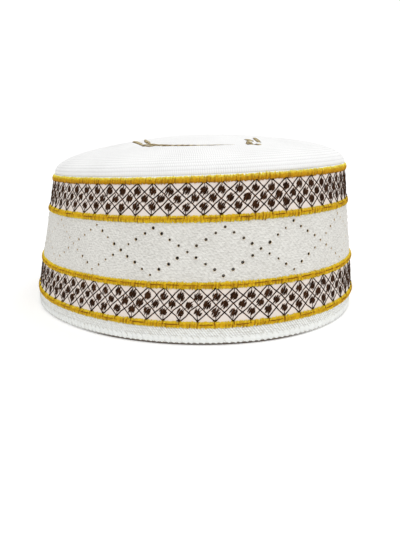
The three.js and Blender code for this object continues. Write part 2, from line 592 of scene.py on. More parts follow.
class CapForm:
    """The cap's outer skin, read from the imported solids, in shares of the way round and metres of height."""

    def __init__(self, cloth):
        oval_steps = 1440
        dome_steps = 600
        same_level = 1e-6
        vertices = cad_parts["side_wall"].data.vertices
        points = np.zeros(len(vertices) * 3, np.float32)
        vertices.foreach_get("co", points)
        points = points.astype(float).reshape(-1, 3)
        self.levels = np.unique(points[:, 2].round(6))
        rings = [points[np.isclose(points[:, 2], level, atol=same_level)] for level in self.levels]
        low = np.array([ring.min(axis=0)[:2] for ring in rings])
        high = np.array([ring.max(axis=0)[:2] for ring in rings])
        self.middles = (low + high) / 2
        self.halves = (high - low) / 2
        # The lowest level is rounded off, so the next one up is the full rim.
        self.rim = self.halves[1]
        self.wall_top = self.levels[-1]
        self.angles = np.linspace(0.0, 2 * np.pi, oval_steps + 1)
        runs = path_runs(self.rim * np.stack([np.cos(self.angles), np.sin(self.angles)], axis=-1))
        self.rim_length = runs[-1]
        self.shares = runs / self.rim_length
        crown_low, crown_high = (np.array(corner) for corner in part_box("crown"))
        self.seam = crown_low[2]
        self.crown_middle = (crown_low + crown_high)[:2] / 2
        self.crown_half = (crown_high - crown_low)[:2] / 2
        turn = np.linspace(0.0, np.pi / 2, dome_steps)
        self.reach = np.cos(turn) ** cloth.shoulder_power
        self.climb = np.sin(turn) ** cloth.top_power * (crown_high[2] - crown_low[2])
        self.runs = path_runs(np.stack([self.reach * self.crown_half.mean(), self.climb], axis=-1))

    def turn(self, share):
        angle = np.interp(np.mod(share, 1.0), self.shares, self.angles)
        return np.stack([np.cos(angle), np.sin(angle)], axis=-1)

    def pucker(self, share, height):
        """Soft unevenness of stitched cloth: slow waves round the cap, fading out at the rim."""
        depth = np.zeros_like(share)
        for row in PUCKERS:
            phase = 2 * np.pi * row["waves"] * share + row["start"] + row["slant"] * height
            depth = depth + row["size"] * np.sin(phase)
        return depth * MM * np.clip(height / PUCKER_FADE, 0.0, 1.0)

    def away(self, share):
        """The level way out of the wall."""
        turn = self.turn(share) / self.rim
        return unit(np.concatenate([turn, np.zeros_like(turn[..., :1])], axis=-1))

    def wall(self, share, height, out=0.0):
        share, height, out = np.broadcast_arrays(*(np.asarray(v, float) for v in (share, height, out)))
        plan = np.stack([np.interp(height, self.levels, self.middles[:, axis]) for axis in (0, 1)], axis=-1)
        half = np.stack([np.interp(height, self.levels, self.halves[:, axis]) for axis in (0, 1)], axis=-1)
        points = np.concatenate([plan + half * self.turn(share), height[..., None]], axis=-1)
        return points + self.away(share) * (out + self.pucker(share, height))[..., None]

    def girth(self, height):
        """The way round the wall at a height."""
        return self.rim_length * np.interp(height, self.levels, self.halves[:, 0]) / self.rim[0]

    def crown_skin(self, share, run):
        reach = np.interp(run, self.runs, self.reach)
        climb = np.interp(run, self.runs, self.climb)
        plan = self.crown_middle + self.crown_half * self.turn(share) * reach[..., None]
        return np.concatenate([plan, (self.seam + climb)[..., None]], axis=-1)

    def crown(self, share, run, out=0.0):
        """Points on the dome, a run up from its seam, and the way out there."""
        share, run, out = np.broadcast_arrays(*(np.asarray(v, float) for v in (share, run, out)))
        nudge = 0.2 * MM
        turn_nudge = 1e-4
        inner = np.clip(run, nudge, self.runs[-1] - 2 * nudge)
        up = self.crown_skin(share, inner + nudge) - self.crown_skin(share, inner - nudge)
        side = self.crown_skin(share + turn_nudge, inner) - self.crown_skin(share - turn_nudge, inner)
        away = unit(np.cross(side, up))
        return self.crown_skin(share, run) + away * out[..., None], away

    def on_crown(self, plan, out):
        """Plan points in millimetres from the crown's middle, set on the dome."""
        spot = plan * MM / self.crown_half
        angle = np.mod(np.arctan2(spot[..., 1], spot[..., 0]), 2 * np.pi)
        share = np.interp(angle, self.angles, self.shares)
        run = np.interp(np.linalg.norm(spot, axis=-1), self.reach[::-1], self.runs[::-1])
        return self.crown(share, run, out)


class Band:
    """A lattice band between two borders: its heights, and where its crossings come round the cap."""

    def __init__(self, name):
        self.name = name
        self.bottom = border_edges(f"{name}_bottom_border")[1]
        self.top = border_edges(f"{name}_top_border")[0]
        self.count = BANDS[name]["count"]
        self.phase = BANDS[name]["phase"]
        self.drift = BANDS[name]["drift"]
        self.widest = BANDS[name]["widest"]

    def even(self, index):
        return (np.asarray(index, float) + self.phase) / self.count

    def share(self, index):
        return drifted(self.even(index), self.drift, self.widest)

    def spread(self, index):
        """The pitch at a crossing, as a share of the even pitch."""
        return 1.0 + self.drift * np.cos(2 * np.pi * (self.even(index) - self.widest))

    def height(self, down):
        return self.top - np.asarray(down, float) * (self.top - self.bottom)


def seeded_bands(seed):
    """Both bands, each with random numbers of its own."""
    for turn, name in enumerate(BANDS):
        yield Band(name), np.random.default_rng(seed + turn)


def make_piece(name, points, faces, material, stands_for=(), marks=None, uv=None):
    """A joined mesh that rides with the cap, with its marks as point attributes."""
    mesh = bpy.data.meshes.new(name)
    mesh.from_pydata(points.tolist(), [], faces)
    for title, values in (marks or {}).items():
        mesh.attributes.new(title, "FLOAT", "POINT").data.foreach_set("value", values.astype(np.float32))
    if uv is not None:
        mesh.uv_layers.new(name="cloth").data.foreach_set("uv", uv.astype(np.float32).ravel())
    mesh.shade_smooth()
    mesh.materials.append(material)
    piece = bpy.data.objects.new(name, mesh)
    bpy.context.scene.collection.objects.link(piece)
    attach(piece, "root")
    if stands_for:
        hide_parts(*stands_for)
    return piece


def make_stitched(name, groups, material, stands_for=()):
    """A piece of several sets of threads."""
    points = np.concatenate([group[0] for group in groups])
    marks = {key: np.concatenate([group[2][key] for group in groups]) for key in groups[0][2]}
    faces = []
    start = 0
    for group in groups:
        faces.extend([[corner + start for corner in face] for face in group[1]])
        start += len(group[0])
    return make_piece(name, points, faces, material, stands_for, marks)


def thread_tubes(middles, away, half_width, half_height, tint, sides=6):
    """Closed tubes along rows of points, with marks for the place along each stitch and its own tint."""
    stitches, steps = middles.shape[:2]
    along = unit(np.gradient(middles, axis=1))
    across = unit(np.cross(away, along))
    rise = np.cross(along, across)
    turn = np.arange(sides) / sides * 2 * np.pi
    half_width = np.broadcast_to(half_width, (stitches, steps))[..., None, None]
    half_height = np.broadcast_to(half_height, (stitches, steps))[..., None, None]
    ring = across[:, :, None] * np.cos(turn)[:, None] * half_width
    ring = ring + rise[:, :, None] * np.sin(turn)[:, None] * half_height
    points = (middles[:, :, None] + ring).reshape(-1, 3)
    index = np.arange(len(points)).reshape(stitches, steps, sides)
    beside = np.roll(index, -1, axis=2)
    quads = np.stack([index[:, :-1], beside[:, :-1], beside[:, 1:], index[:, 1:]], axis=-1)
    ends = np.concatenate([index[:, 0, ::-1], index[:, -1]])
    faces = quads.reshape(-1, 4).tolist() + ends.tolist()
    place = np.broadcast_to(np.linspace(0.0, 1.0, steps)[None, :, None], index.shape)
    marks = {"along": place.ravel(), "tint": np.repeat(tint, steps * sides)}
    return points, faces, marks


def laid_threads(form, share, height, out, half_width, half_height, tint, sides=5):
    """Threads on the wall from rows of shares, heights and lifts."""
    share, height, out = np.broadcast_arrays(share, height, out)
    return thread_tubes(form.wall(share, height, out), form.away(share), half_width, half_height, tint, sides)


class Patchwork:
    """Small grids in cloth coordinates (share, height, out), welded where their points meet."""

    # Points that agree to these parts of the way round and of a metre are one.
    share_grain = 1000000
    length_grain = 10000000

    def __init__(self):
        self.points = []
        self.faces = []
        self.count = 0

    def add(self, points, faces):
        self.points.append(points.reshape(-1, 3))
        self.faces.append(faces.reshape(-1, 4) + self.count)
        self.count += len(self.points[-1])

    def add_many(self, points, faces):
        """The same faces over several patches of points."""
        steps = np.arange(len(points)) * points.shape[1]
        self.add(points, faces[None] + steps[:, None, None])

    def weld(self):
        """The welded points, the faces over them, and each face corner's own cloth coordinates."""
        points = np.concatenate(self.points)
        faces = np.concatenate(self.faces)
        grain = [self.share_grain, self.length_grain, self.length_grain]
        keys = np.round(points * grain).astype(np.int64)
        keys[:, 0] %= self.share_grain
        first, back = np.unique(keys, axis=0, return_index=True, return_inverse=True)[1:]
        return points[first], back.ravel()[faces], points[faces]


def grid_faces(rows, columns):
    index = np.arange(rows * columns).reshape(rows, columns)
    corners = [index[:-1, :-1], index[:-1, 1:], index[1:, 1:], index[1:, :-1]]
    return np.stack(corners, axis=-1).reshape(-1, 4)


def ring_faces(rings, corners):
    """Faces between closed rings of points, each one on from the ring before."""
    index = np.arange(rings * corners).reshape(rings, corners)
    beside = np.roll(index, -1, axis=1)
    return np.stack([index[:-1], beside[:-1], beside[1:], index[1:]], axis=-1).reshape(-1, 4)


class EyeletField:
    """The cloth cells between the two bands, of which the outline of each diamond is pierced."""

    def __init__(self):
        self.border_middles = [sum(border_edges(name)) / 2 for name in BORDERS]
        self.bottom, self.top = self.border_middles[1:3]
        self.columns = DIAMONDS * DIAMOND_COLUMNS
        self.row_height = (self.top - self.bottom) / FIELD_ROWS
        self.start = EYELET_PHASE / DIAMONDS - 0.5 / self.columns
        every = {(column, row) for column in range(self.columns) for row in range(FIELD_ROWS)}
        pierced = set()
        for column in range(self.columns):
            step = column % DIAMOND_COLUMNS
            reach = min(step, DIAMOND_COLUMNS - step)
            pierced |= {(column, FIELD_ROWS // 2 + reach), (column, FIELD_ROWS // 2 - reach)}
        self.pierced = np.array(sorted(pierced), float)
        self.plain = np.array(sorted(every - pierced), float)

    def share(self, column):
        return self.start + column / self.columns

    def places(self, cells, local, out):
        """Cloth coordinates of local points, in shares of a cell, over many cells."""
        share = self.share(cells[:, :1] + 0.5 + local[..., 0])
        height = self.bottom + (cells[:, 1:] + 0.5 + local[..., 1]) * self.row_height
        return np.stack(np.broadcast_arrays(share, height, out), axis=-1)


class CAP_OT_side_wall_cloth(bpy.types.Operator):
    """Build the side wall of quilted cotton, pierced by rings of eyelets"""

    bl_idname = "cap.side_wall_cloth"
    bl_label = "Side wall cloth"

    def lay_zones(self, quilt, field, wall_top, thickness):
        """The strips that go round the wall: rim, lower band, upper band, top edge and the inside."""
        lower_rows, upper_rows = 11, 8
        inner_lower_rows, inner_upper_rows = 6, 5
        steps = field.columns * CELL_STEPS
        rim_heights = column_of(RIM_EDGE, "height") * MM
        rim_outs = column_of(RIM_EDGE, "out") * MM
        inner_lower = np.linspace(field.bottom, RIM_ROUNDING, inner_lower_rows)
        inner_outs = [-thickness] * inner_lower_rows + [RIM_ROUNDING - thickness, rim_outs[0]]
        zones = (
            (rim_heights, rim_outs),
            (np.linspace(rim_heights[-1], field.bottom, lower_rows), 0.0),
            (np.linspace(field.top, wall_top, upper_rows), 0.0),
            ([wall_top, wall_top], [0.0, -thickness]),
            (np.linspace(wall_top, field.top, inner_upper_rows), -thickness),
            (np.concatenate([inner_lower, [0.0, 0.0]]), inner_outs),
        )
        for heights, outs in zones:
            rows = np.array(np.broadcast_arrays(heights, outs)).T
            points = np.empty((len(rows), steps + 1, 3))
            points[..., 0] = field.start + np.arange(steps + 1) / steps
            points[..., 1:] = rows[:, None]
            quilt.add(points, grid_faces(len(rows), steps + 1))

    def lay_plain_cells(self, quilt, field, thickness):
        grid = np.arange(CELL_STEPS + 1) / CELL_STEPS - 0.5
        patch = np.stack(np.meshgrid(grid, grid), axis=-1).reshape(1, -1, 2)
        faces = grid_faces(CELL_STEPS + 1, CELL_STEPS + 1)
        quilt.add_many(field.places(field.plain, patch, 0.0), faces)
        quilt.add_many(field.places(field.plain, patch, -thickness), faces[:, ::-1])

    def lay_eyelets(self, quilt, field, form, cloth):
        """Cells with a hole: rings from the cell's outline over the lip, through the cloth and out again."""
        rng = np.random.default_rng(11)
        smallest, largest = 0.64, 1.1
        closing = 0.22
        wander = 0.12 * MM
        most_wander = 0.22 * MM
        edge = np.arange(CELL_STEPS) / CELL_STEPS - 0.5
        flat = np.full(CELL_STEPS, 0.5)
        sides = ((edge, -flat), (flat, edge), (-edge, flat), (-flat, -edge))
        outline = np.concatenate([np.stack(side, axis=-1) for side in sides])
        corners = len(outline)
        cells = field.pierced
        turn = 1.25 * np.pi + np.arange(corners) / corners * 2 * np.pi
        circle = np.stack([np.cos(turn), np.sin(turn)], axis=-1)
        girth = form.girth((field.bottom + field.top) / 2)
        cell_size = np.array([girth / field.columns, field.row_height])
        size = cloth.eyelet / 2 * rng.uniform(smallest, largest, (len(cells), 1, 1))
        past_fullest = field.share(cells[:, :1, None] + 0.5) - EYELET_FULLEST
        size = size * (1.0 - closing + closing * np.cos(4 * np.pi * past_fullest))
        shift = rng.normal(0.0, wander, (len(cells), 1, 2)).clip(-most_wander, most_wander)
        square = np.broadcast_to(outline, (len(cells), corners, 2))
        layers = [field.places(cells, square, 0.0)]
        for ring in EYELET_RINGS:
            local = (shift + circle * (size + ring["wider"] * MM)) / cell_size
            layers.append(field.places(cells, local, max(ring["out"] * MM, -cloth.thickness)))
        layers.append(field.places(cells, square, -cloth.thickness))
        quilt.add_many(np.concatenate(layers, axis=1), ring_faces(len(layers), corners))

    def execute(self, context):
        cloth = context.scene.cap_cloth
        form = CapForm(cloth)
        field = EyeletField()
        quilt = Patchwork()
        self.lay_zones(quilt, field, form.wall_top, cloth.thickness)
        self.lay_plain_cells(quilt, field, cloth.thickness)
        self.lay_eyelets(quilt, field, form, cloth)
        places, faces, corner_places = quilt.weld()
        share, height, out = places.T
        girth = form.girth(field.bottom)
        # How much painted eyelet shade each point of the wall gets.
        eyelet_shade = np.interp(out, column_of(EYELET_TONES, "out") * MM, column_of(EYELET_TONES, "eyelet_shade"))
        make_piece(
            "side_wall_cloth",
            form.wall(drifted(share, EYELET_DRIFT, EYELET_WIDEST), height, out),
            faces.tolist(),
            wall_cotton(cloth, girth, *field.border_middles),
            ["side_wall"],
            {"eyelet_shade": eyelet_shade * (height > field.bottom) * (height < field.top)},
            corner_places[..., :2] * [girth, 1.0],
        )
        return {"FINISHED"}


class CAP_OT_crown_cloth(bpy.types.Operator):
    """Build the domed crown of cotton in close concentric rows"""

    bl_idname = "cap.crown_cloth"
    bl_label = "Crown cloth"

    def execute(self, context):
        cloth = context.scene.cap_cloth
        form = CapForm(cloth)
        columns = 256
        row_steps = 4
        inner_rows = 24
        fewest_ribs = 6
        apex = 0.6 * MM
        ridge_height = 0.10 * MM
        furrow_depth = 0.22 * MM
        furrow_power = 6
        top = form.runs[-1]
        rows = int(top / cloth.crown_row)
        run = np.arange(rows * row_steps + 1) / row_steps * cloth.crown_row
        run = run[run < top - apex][::-1]
        ridge = ridge_height - furrow_depth * np.cos(np.pi * run / cloth.crown_row) ** furrow_power
        inner_run = np.linspace(0.0, top - apex, inner_rows)
        shares = np.arange(columns) / columns
        outer = form.crown(shares[None], run[:, None], ridge[:, None])[0]
        inner = form.crown(shares[None], inner_run[:, None], -cloth.thickness)[0]
        lips = np.concatenate([outer[-1:], inner[:1]])
        lips[..., 2] = form.wall_top
        points = np.concatenate([outer, lips, inner])
        levels = np.concatenate([run, [0.0, 0.0], inner_run])
        quads = ring_faces(len(levels), columns)[:, ::-1]
        across = np.stack([shares, shares + 1 / columns, shares + 1 / columns, shares], axis=-1)
        corner_share = np.broadcast_to(across, (len(levels) - 1, columns, 4)).reshape(-1, 4)
        corner_run = np.stack([levels[1:], levels[1:], levels[:-1], levels[:-1]], axis=-1)
        corner_run = np.repeat(corner_run, columns, axis=0)
        uv = np.stack([corner_share, corner_run], axis=-1).reshape(-1, 2)
        last = len(levels) * columns
        ends = [list(range(columns)), list(range(last - 1, last - columns - 1, -1))]
        end_uv = np.zeros((2 * columns, 2)) + [0.5, top]
        piece = make_piece(
            "crown_cloth",
            points.reshape(-1, 3),
            quads.tolist() + ends,
            crown_cotton(cloth),
            ["crown"],
            uv=np.concatenate([uv, end_uv]),
        )
        row = np.floor((levels[1:] + levels[:-1]) / 2 / cloth.crown_row) + 0.5
        reach = np.interp(row * cloth.crown_row, form.runs, form.reach)
        ribs = np.maximum(fewest_ribs, np.round(form.girth(form.wall_top) * reach / cloth.rib_pitch))
        face_ribs = np.concatenate([np.repeat(ribs, columns), [fewest_ribs] * 2]).astype(np.float32)
        piece.data.attributes.new("ribs", "FLOAT", "FACE").data.foreach_set("value", face_ribs)
        return {"FINISHED"}


class CAP_OT_satin_borders(bpy.types.Operator):
    """Lay the four yellow borders, stitch by stitch"""

    bl_idname = "cap.satin_borders"
    bl_label = "Satin borders"

    def execute(self, context):
        threads = context.scene.cap_threads
        form = CapForm(context.scene.cap_cloth)
        shadow = threads.satin_shadow
        # Two copies of the border thread with painted light: the top border's copy has a lemon painted
        # highlight at its upper end and amber painted shade at its lower end.
        plain = satin_yellow("satin_yellow", threads.yellow, threads.gold, threads.yellow, shadow)
        shaded = satin_yellow("satin_lemon", threads.lemon, threads.gold, threads.amber, shadow)
        bend = stitch_bend(0.62)
        arch = (1.0 - np.abs(bend) ** 2.4) ** 0.75
        drop = 0.32 * MM
        ragged = 0.17 * MM
        seat = 0.02 * MM
        pair_closing = 0.08
        wander = 0.05
        lean = 0.4
        lean_wander = 0.12
        lowest, highest = 0.92, 1.06
        pair_shades = [0.38, 0.62]
        pair_wander = 0.1
        strand_wander = 0.18
        for turn, name in enumerate(BORDERS):
            rng = np.random.default_rng(100 + turn)
            low, high = border_edges(name)
            middle = (low + high) / 2 - drop
            half = (high - low) / 2
            girth = form.girth(middle)
            # An even number of pairs, so that their painted shades take turns all the way round.
            pairs = 2 * round(girth / threads.satin_pitch / 4)
            count = 2 * pairs
            pitch = 1.0 / count
            second = np.tile([0, 1], pairs)
            share = (np.arange(count) - pair_closing * second + rng.normal(0.0, wander, count)) * pitch
            uneven = rng.normal(0.0, ragged, (count, 2))
            top = middle + half + uneven[:, :1]
            bottom = middle - half + uneven[:, 1:]
            height = (top + bottom) / 2 + (top - bottom) / 2 * bend
            slant = (lean + np.repeat(rng.normal(0.0, lean_wander, pairs), 2)[:, None]) * pitch
            rise = threads.satin_rise * np.repeat(rng.uniform(lowest, highest, pairs), 2)[:, None]
            # Pair tints set the painted shade of the strands: every second pair gets more of it.
            shade = np.tile(pair_shades, pairs // 2) + rng.normal(0.0, pair_wander, pairs)
            tint = (np.repeat(shade, 2) + rng.normal(0.0, strand_wander, count)).clip(0.0, 1.0)
            strands = laid_threads(
                form,
                share[:, None] + slant * bend,
                height,
                seat + rise * arch,
                girth * pitch * bulge(0.46, 0.68, 0.76),
                bulge(0.14, 0.22, 0.26) * MM,
                tint,
                sides=4,
            )
            material = shaded if name == BORDERS[-1] else plain
            make_stitched(name.replace("border", "satin"), [strands], material, [name])
        return {"FINISHED"}


class CAP_OT_border_lines(bpy.types.Operator):
    """Lay the brown thread that runs along the borders between the lattice crossings"""

    bl_idname = "cap.border_lines"
    bl_label = "Border lines"

    def execute(self, context):
        threads = context.scene.cap_threads
        form = CapForm(context.scene.cap_cloth)
        rng = np.random.default_rng(300)
        material = twisted_thread("rust_thread", threads.rust, threads.amber, threads.rust)
        half_width = 0.2 * MM
        half_height = 0.12 * MM
        ride = threads.satin_rise + 0.16 * MM
        foot_out = 0.25 * MM
        line_wander = 0.10 * MM
        point_wander = 0.05 * MM
        darkest_tint = 0.7
        line_ends = (0.04, 0.96)
        part = np.linspace(*line_ends, 7)
        line_out = ride + np.array([-0.35, -0.05, 0.02, 0.0, 0.02, -0.05, -0.35]) * MM
        climb = np.linspace(0.0, 1.0, 5)
        foot_rise = foot_out + (ride - foot_out) * np.sin(climb * np.pi / 2) ** 0.6
        groups = []

        def lay(share, height, out):
            tint = rng.uniform(0, darkest_tint, len(share))
            groups.append(laid_threads(form, share, height, out, half_width, half_height, tint))

        for line in BORDER_LINES:
            band = Band(line["band"])
            middle = sum(border_edges(f"{band.name}_{line['side']}_border")) / 2
            edge = band.bottom if line["side"] == "bottom" else band.top
            first = np.arange(0, band.count, line["every"])
            wave = rng.normal(0.0, line_wander, (len(first), 1))
            wave = wave + rng.normal(0.0, point_wander, (len(first), len(part)))
            lay(band.share(first[:, None] + part), middle + wave, line_out)
            if line["every"] > 1:
                feet = np.concatenate([first + end for end in line_ends])
                lay(band.share(feet)[:, None], edge + (middle - edge) * climb, foot_rise)
        make_stitched("border_lines", groups, material)
        return {"FINISHED"}


class CAP_OT_lattice_nets(bpy.types.Operator):
    """Lay the crossing lines of running stitch in both bands"""

    bl_idname = "cap.lattice_nets"
    bl_label = "Lattice nets"

    def execute(self, context):
        threads = context.scene.cap_threads
        form = CapForm(context.scene.cap_cloth)
        stitches = 6
        steps = 4
        overlap = 0.012
        overrun = 0.015
        wander = 0.035
        end_hold = 0.4
        brightest_tint = 0.3
        flatness = 0.3
        half_width = threads.lattice_width / 2
        half_height = half_width * flatness
        under, over = 0.01 * MM, 0.08 * MM
        arch = np.array([0.0, 0.04, 0.04, 0.0]) * MM
        onward = np.linspace(0.0, 1.0, steps)
        part = np.arange(stitches)[:, None] / stitches + np.linspace(-overlap, 1 / stitches + overlap, steps)
        for band, rng in seeded_bands(400):
            first = np.arange(band.count)[:, None, None]
            down = part * (1.0 + 2 * overrun) - overrun
            height = np.tile(band.height(down), (band.count, 1))
            groups = []
            for way, lift in ((1, under), (-1, over)):
                ends = rng.normal(0.0, wander, (band.count, stitches + 1))
                ends[:, [0, -1]] *= end_hold
                drift = ends[:, :-1, None] * onward[::-1] + ends[:, 1:, None] * onward
                share = band.share(first + 2 * way * part + drift).reshape(-1, steps)
                tint = rng.uniform(0.0, brightest_tint, len(share))
                groups.append(laid_threads(form, share, height, lift + arch, half_width, half_height, tint))
            make_stitched(f"{band.name}_lattice", groups, dark_thread(threads))
        return {"FINISHED"}


class CAP_OT_satin_dots(bpy.types.Operator):
    """Lay the three rows of dark satin dots in both bands"""

    bl_idname = "cap.satin_dots"
    bl_label = "Satin dots"

    def execute(self, context):
        threads = context.scene.cap_threads
        form = CapForm(context.scene.cap_cloth)
        stitches = 9
        outermost = 0.84
        steepest = 0.93
        place_wander = 0.05
        height_wander = 0.14 * MM
        smallest, largest = 0.92, 1.06
        narrowest, widest = 0.8, 1.06
        overshoot, ragged = 0.04, 0.26
        shortest, longest = 0.6, 1.6
        tilt_wander = 0.1
        lift_wander = 0.03 * MM
        seat = 0.05 * MM
        rise = 0.2 * MM
        edge_fall = 0.6
        flatness = 0.5
        bend = stitch_bend(0.6)
        width = threads.dot_thread / 2 * bulge(0.5, 0.95, 1.1)
        slope = math.radians(62)
        along = np.array([math.cos(slope), math.sin(slope)])
        across = np.array([along[1], -along[0]])
        for band, rng in seeded_bands(500):
            index = np.concatenate([np.arange(band.count) + row["side"] for row in DOT_ROWS])
            down = np.repeat(column_of(DOT_ROWS, "down"), band.count)
            dots = len(index)
            each = (dots, stitches)
            middle = (band.height(down) + rng.normal(0.0, height_wander, dots))[:, None, None]
            place = np.linspace(-outermost, outermost, stitches) + rng.normal(0.0, place_wander, each)
            size = threads.dot_width / 2 * rng.uniform(smallest, largest, (dots, 1))
            reach = size * np.sqrt(1.0 - np.clip(place, -steepest, steepest) ** 2)
            uneven = (1.0 + rng.normal(overshoot, ragged, (*each, 2))).clip(shortest, longest)
            reach = reach[..., None] * uneven
            run = np.where(bend < 0, bend * reach[..., :1], bend * reach[..., 1:])
            side = (place * size)[..., None] + rng.normal(0.0, tilt_wander, (*each, 1)) * run
            spread = band.spread(index).clip(narrowest, widest)[:, None, None]
            x = (run * along[0] + side * across[0]) * spread
            y = run * along[1] + side * across[1]
            share = band.share(index)[:, None, None] + x / form.girth(middle)
            dome = (1.0 - edge_fall * place**2)[..., None] * (1.0 - bend**2)
            out = seat + rise * dome + rng.normal(0.0, lift_wander, (*each, 1))
            rows = [values.reshape(-1, len(bend)) for values in (share, middle + y, out)]
            tint = rng.uniform(0, 1, dots * stitches)
            satin = laid_threads(form, *rows, width, width * flatness, tint)
            make_stitched(f"{band.name}_dots", [satin], dark_thread(threads))
        return {"FINISHED"}


class CAP_OT_dot_stems(bpy.types.Operator):
    """Lay the fine threads that carry on from dot to dot and to the borders, with their end knots"""

    bl_idname = "cap.dot_stems"
    bl_label = "Dot stems"

    def execute(self, context):
        threads = context.scene.cap_threads
        form = CapForm(context.scene.cap_cloth)
        wander = 0.03
        flatness = 0.6
        brightest_tint = 0.6
        part = np.linspace(0.0, 1.0, 5)
        stem_out = (0.03 + 0.1 * np.sin(np.pi * part) ** 0.6) * MM
        wide = np.linspace(-1.0, 1.0, 5)
        knot_out = (0.2 + 0.25 * (1.0 - wide**2)) * MM
        for band, rng in seeded_bands(600):
            first = np.arange(band.count)[:, None]
            each = (band.count, 1)
            groups = []
            for stem in STEMS:
                (start_side, start_down), (end_side, end_down) = stem["start"], stem["end"]
                astray = rng.normal(0.0, wander, (band.count, 2))
                start = first + start_side + astray[:, :1]
                end = first + end_side + astray[:, 1:]
                share = band.share(start + (end - start) * part)
                height = band.height(start_down + (end_down - start_down) * part)
                half = stem["half"] * MM
                tint = rng.uniform(0.0, brightest_tint, band.count)
                groups.append(laid_threads(form, share, height, stem_out, half, half * flatness, tint))
            for knot in KNOTS:
                reach = rng.uniform(*knot["reach"], each)
                share = band.share(first + rng.normal(0.0, knot["wander"], each) + reach * wide)
                height = band.height(knot["down"]) + rng.normal(0.0, knot["drop"] * MM, each)
                thick = bulge(*knot["thick"]) * MM
                tint = rng.uniform(0.0, brightest_tint, band.count)
                groups.append(laid_threads(form, share, height, knot_out, thick, thick, tint))
            make_stitched(f"{band.name}_stems", groups, dark_thread(threads))
        return {"FINISHED"}


class CAP_OT_rim_overcast(bpy.types.Operator):
    """Whip the rim's edge with white overcast stitches"""

    bl_idname = "cap.rim_overcast"
    bl_label = "Rim overcast"

    def execute(self, context):
        threads = context.scene.cap_threads
        cloth = context.scene.cap_cloth
        form = CapForm(cloth)
        rng = np.random.default_rng(700)
        middle = 2.5 * MM
        half_rise = 1.1 * MM
        lean = 0.5
        wander = 0.05
        height_wander = 0.05 * MM
        sunk = -0.04 * MM
        floor_gap = 0.05 * MM
        dullest, brightest = 0.35, 0.65
        count = int(round(form.rim_length / threads.rim_pitch))
        bend = stitch_bend(0.6)
        share = (np.arange(count)[:, None] + rng.normal(0.0, wander, (count, 1)) - lean * bend) / count
        height = middle + half_rise * bend + rng.normal(0.0, height_wander, (count, 1))
        width = threads.rim_pitch * np.array([0.34, 0.5, 0.54, 0.5, 0.4])
        thick = np.array([0.12, 0.2, 0.18, 0.1, 0.03]) * MM
        tint = rng.uniform(dullest, brightest, count)
        points, faces, marks = laid_threads(form, share, height, sunk, width, thick, tint, sides=8)
        points[:, 2] = np.maximum(points[:, 2], floor_gap)
        make_stitched("rim_overcast", [(points, faces, marks)], cotton_thread(cloth))
        return {"FINISHED"}


def along_path(path, count):
    """Evenly spaced points along a path in plan."""
    runs = path_runs(path)
    stops = np.linspace(0.0, runs[-1], count)
    return np.stack([np.interp(stops, runs, axis) for axis in np.transpose(path)], axis=-1)


def crown_stitches(form, starts, ends, half, rise, tint):
    """Stitches on the crown from start to end points in plan, in millimetres."""
    seat = 0.06
    flatness = 0.8
    part = np.linspace(0.0, 1.0, 5)
    plan = starts[:, None] + (ends - starts)[:, None] * part[:, None]
    middles, away = form.on_crown(plan, (seat + rise * np.sin(np.pi * part)) * MM)
    width = half[:, None] * bulge(0.5, 0.95, 1.0) * MM
    return thread_tubes(middles, away, width, width * flatness, tint)


class CAP_OT_crown_embroidery(bpy.types.Operator):
    """Lay the tan line, leaves and slanting stitches on the crown"""

    bl_idname = "cap.crown_embroidery"
    bl_label = "Crown embroidery"

    def line_stitches(self, form, rng, line):
        """A satin line: short slanting stitches across a path, light and dark by turns."""
        pitch = 0.5
        fewest = 3
        slant = 0.7
        twist_length = 3.3
        thinnest, thickest = 0.8, 1.15
        end_width = 0.55
        rise = 0.14
        middle_tint = 0.5
        twist_depth = 0.8
        tint_wander = 0.25
        length = path_runs(line["path"])[-1]
        count = max(fewest, int(round(length / pitch)))
        stops = along_path(line["path"], count)
        onward = unit(np.gradient(stops, axis=0))
        sideways = np.stack([-onward[:, 1], onward[:, 0]], axis=-1) + slant * onward
        half = np.linspace(line["first"], line["last"], count) * rng.uniform(thinnest, thickest, count)
        half[[0, -1]] *= end_width
        turns = np.linspace(0.0, length / twist_length, count)
        first_turn = rng.uniform(0, 6)
        twist = np.sin(2 * np.pi * turns + first_turn)
        tints = middle_tint + twist_depth * twist + rng.normal(0.0, tint_wander, count)
        across = sideways * half[:, None]
        thread_half = 0.05 + 0.18 * half
        return crown_stitches(form, stops - across, stops + across, thread_half, rise, tints.clip(0.0, 1.0))

    def leaf_stitches(self, form, rng, leaf):
        """A satin leaf: stitches from its near edge to its far one."""
        pitch = 0.9
        twist_stitches = 4.5
        wander = 0.12
        half = 0.34
        rise = 0.3
        twist_depth = 0.6
        tint_wander = 0.2
        count = int(path_runs(leaf["near"])[-1] / pitch)
        starts = along_path(leaf["near"], count) + rng.normal(0.0, wander, (count, 2))
        ends = along_path(leaf["far"], count) + rng.normal(0.0, wander, (count, 2))
        twist = np.sin(2 * np.pi * np.arange(count) / twist_stitches)
        tints = leaf["tint"] + twist_depth * twist + rng.normal(0.0, tint_wander, count)
        return crown_stitches(form, starts, ends, np.full(count, half), rise, tints.clip(0.0, 1.0))

    def execute(self, context):
        threads = context.scene.cap_threads
        form = CapForm(context.scene.cap_cloth)
        rng = np.random.default_rng(800)
        groups = [self.line_stitches(form, rng, line) for line in CROWN_LINES]
        groups += [self.leaf_stitches(form, rng, leaf) for leaf in CROWN_LEAVES]
        material = twisted_thread("tan_thread", threads.tan_deep, threads.tan, threads.tan_deep)
        make_stitched("crown_embroidery", groups, material)
        return {"FINISHED"}


# Where the two soft lights shine from, seen from the cap.
FRONT_LIGHT_PLACE = (-0.28, -0.40, 0.87)
BACK_LIGHT_PLACE = (0.45, -0.14, 0.88)


